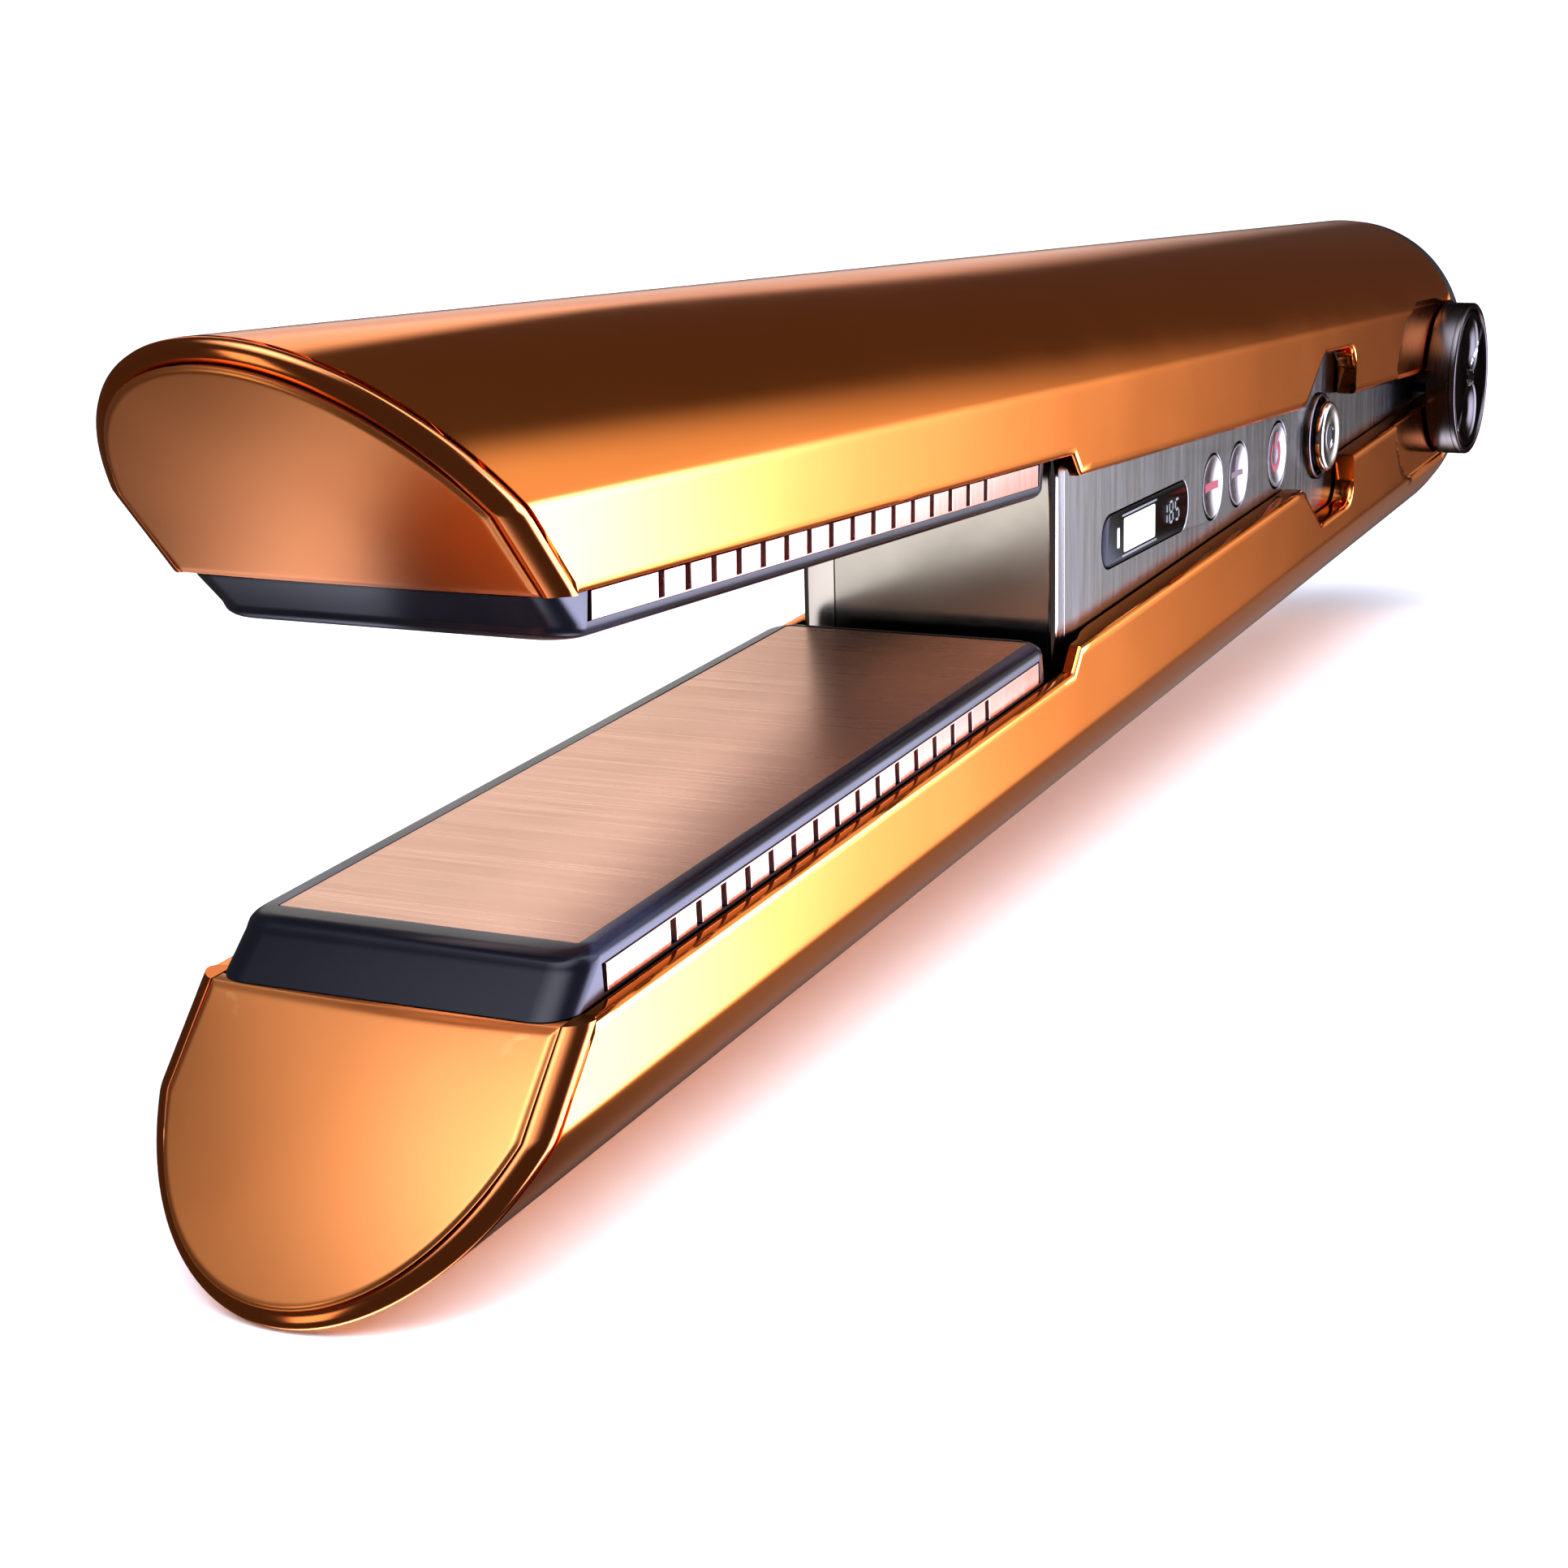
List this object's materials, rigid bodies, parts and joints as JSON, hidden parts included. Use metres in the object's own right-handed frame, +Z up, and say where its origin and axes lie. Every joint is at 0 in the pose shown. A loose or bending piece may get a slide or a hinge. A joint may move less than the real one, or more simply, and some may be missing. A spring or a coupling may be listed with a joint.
{
  "type": "flat iron",
  "caption": "Cordless hair straightener: two sprung copper-coloured arms with flexing heated plates either side of a battery spine, hinged at a round disc.",
  "frame": {"origin": "under the middle of the open straightener, on the surface that the lower tip touches", "axes": "+X from the hinge towards the tips, +Y towards the side with the display and buttons, +Z up through both arms"},
  "size_m": [0.2924, 0.0378, 0.0705],
  "materials": {
    "shell_copper": "gloss",
    "trim_copper": "gloss",
    "cap_copper": "satin",
    "frame_navy": "gloss",
    "plate_copper": "brushed",
    "heater_foil": "matt",
    "bare_aluminium": "milled",
    "ceramic_fibre": "matt",
    "spring_steel": "bright",
    "black_nylon": "satin",
    "bronze": "matt",
    "board": "satin",
    "lead_sleeve": "matt",
    "spine_nickel": "satin",
    "display_glass": "gloss",
    "module_plastic": "matt",
    "cell_wrap": "satin",
    "gold_contact": "bright",
    "disc_gunmetal": "satin",
    "button_silver": "polished"
  },
  "bodies": {
    "spine": {"spine_housing": "spine_nickel", "spine_side_cover": "spine_nickel", "spine_side_trim": "spine_nickel", "display_window": "display_glass", "display_module": "module_plastic", "button_switches": "module_plastic", "lock_collar": "disc_gunmetal", "control_board": "board", "battery_cell_1": "cell_wrap", "battery_cell_2": "cell_wrap", "battery_cell_3": "cell_wrap", "battery_cell_4": "cell_wrap", "battery_sheet": "ceramic_fibre", "hinge_block": "black_nylon", "contact_block": "module_plastic", "charging_contacts": "gold_contact", "hinge_pin": "spring_steel", "hinge_disc": "disc_gunmetal", "disc_face": "button_silver", "disc_screw": "disc_gunmetal", "hinge_cap": "disc_gunmetal", "arm_spring": "spring_steel"},
    "upper_arm": {"upper_shell": "shell_copper", "upper_tip_trim": "trim_copper", "upper_end_cap": "cap_copper", "upper_plate_frame": "frame_navy", "upper_plate": "plate_copper", "upper_heater": "heater_foil", "upper_heater_clamp": "bare_aluminium", "upper_insulator": "ceramic_fibre", "upper_press_springs": "spring_steel", "upper_chassis": "black_nylon", "upper_bushes": "bronze", "upper_power_board": "board", "upper_heater_leads": "lead_sleeve", "upper_rear_cover": "black_nylon", "upper_screws": "spring_steel"},
    "lower_arm": {"lower_shell": "shell_copper", "lower_tip_trim": "trim_copper", "lower_end_cap": "cap_copper", "lower_plate_frame": "frame_navy", "lower_plate": "plate_copper", "lower_heater": "heater_foil", "lower_heater_clamp": "bare_aluminium", "lower_insulator": "ceramic_fibre", "lower_press_springs": "spring_steel", "lower_chassis": "black_nylon", "lower_bushes": "bronze", "lower_power_board": "board", "lower_heater_leads": "lead_sleeve", "lower_rear_cover": "black_nylon", "lower_screws": "spring_steel"},
    "minus_key": {"minus_button": "button_silver"},
    "plus_key": {"plus_button": "button_silver"},
    "power_key": {"power_button": "button_silver"},
    "lock_key": {"lock_button": "button_silver", "lock_plunger": "module_plastic"}
  },
  "joints": [
    {"name": "upper_arm_close", "type": "hinge", "parent": "spine", "child": "upper_arm", "pos_m": [-0.13415, -0.0018, 0.03526], "axis": [0, 1, 0], "range_deg": [0, 2.56], "stiffness_Nm_per_rad": 1, "springref_deg": -34.38},
    {"name": "lower_arm_close", "type": "hinge", "parent": "spine", "child": "lower_arm", "pos_m": [-0.13415, -0.0018, 0.03526], "axis": [0, -1, 0], "range_deg": [0, 2.56], "stiffness_Nm_per_rad": 1, "springref_deg": -34.38},
    {"name": "minus_press", "type": "slide", "parent": "spine", "child": "minus_key", "axis": [0, -1, 0], "range_m": [0, 0.0005], "stiffness_N_per_m": 1500, "springref_m": -0.0005},
    {"name": "plus_press", "type": "slide", "parent": "spine", "child": "plus_key", "axis": [0, -1, 0], "range_m": [0, 0.0005], "stiffness_N_per_m": 1500, "springref_m": -0.0005},
    {"name": "power_press", "type": "slide", "parent": "spine", "child": "power_key", "axis": [0, -1, 0], "range_m": [0, 0.0005], "stiffness_N_per_m": 1500, "springref_m": -0.0005},
    {"name": "lock_press", "type": "slide", "parent": "spine", "child": "lock_key", "axis": [0, -1, 0], "range_m": [0, 0.0015], "stiffness_N_per_m": 1200, "springref_m": -0.001}
  ],
  "couplings": [
    {"joint": "lower_arm_close", "follows": "upper_arm_close", "ratio": 1}
  ]
}
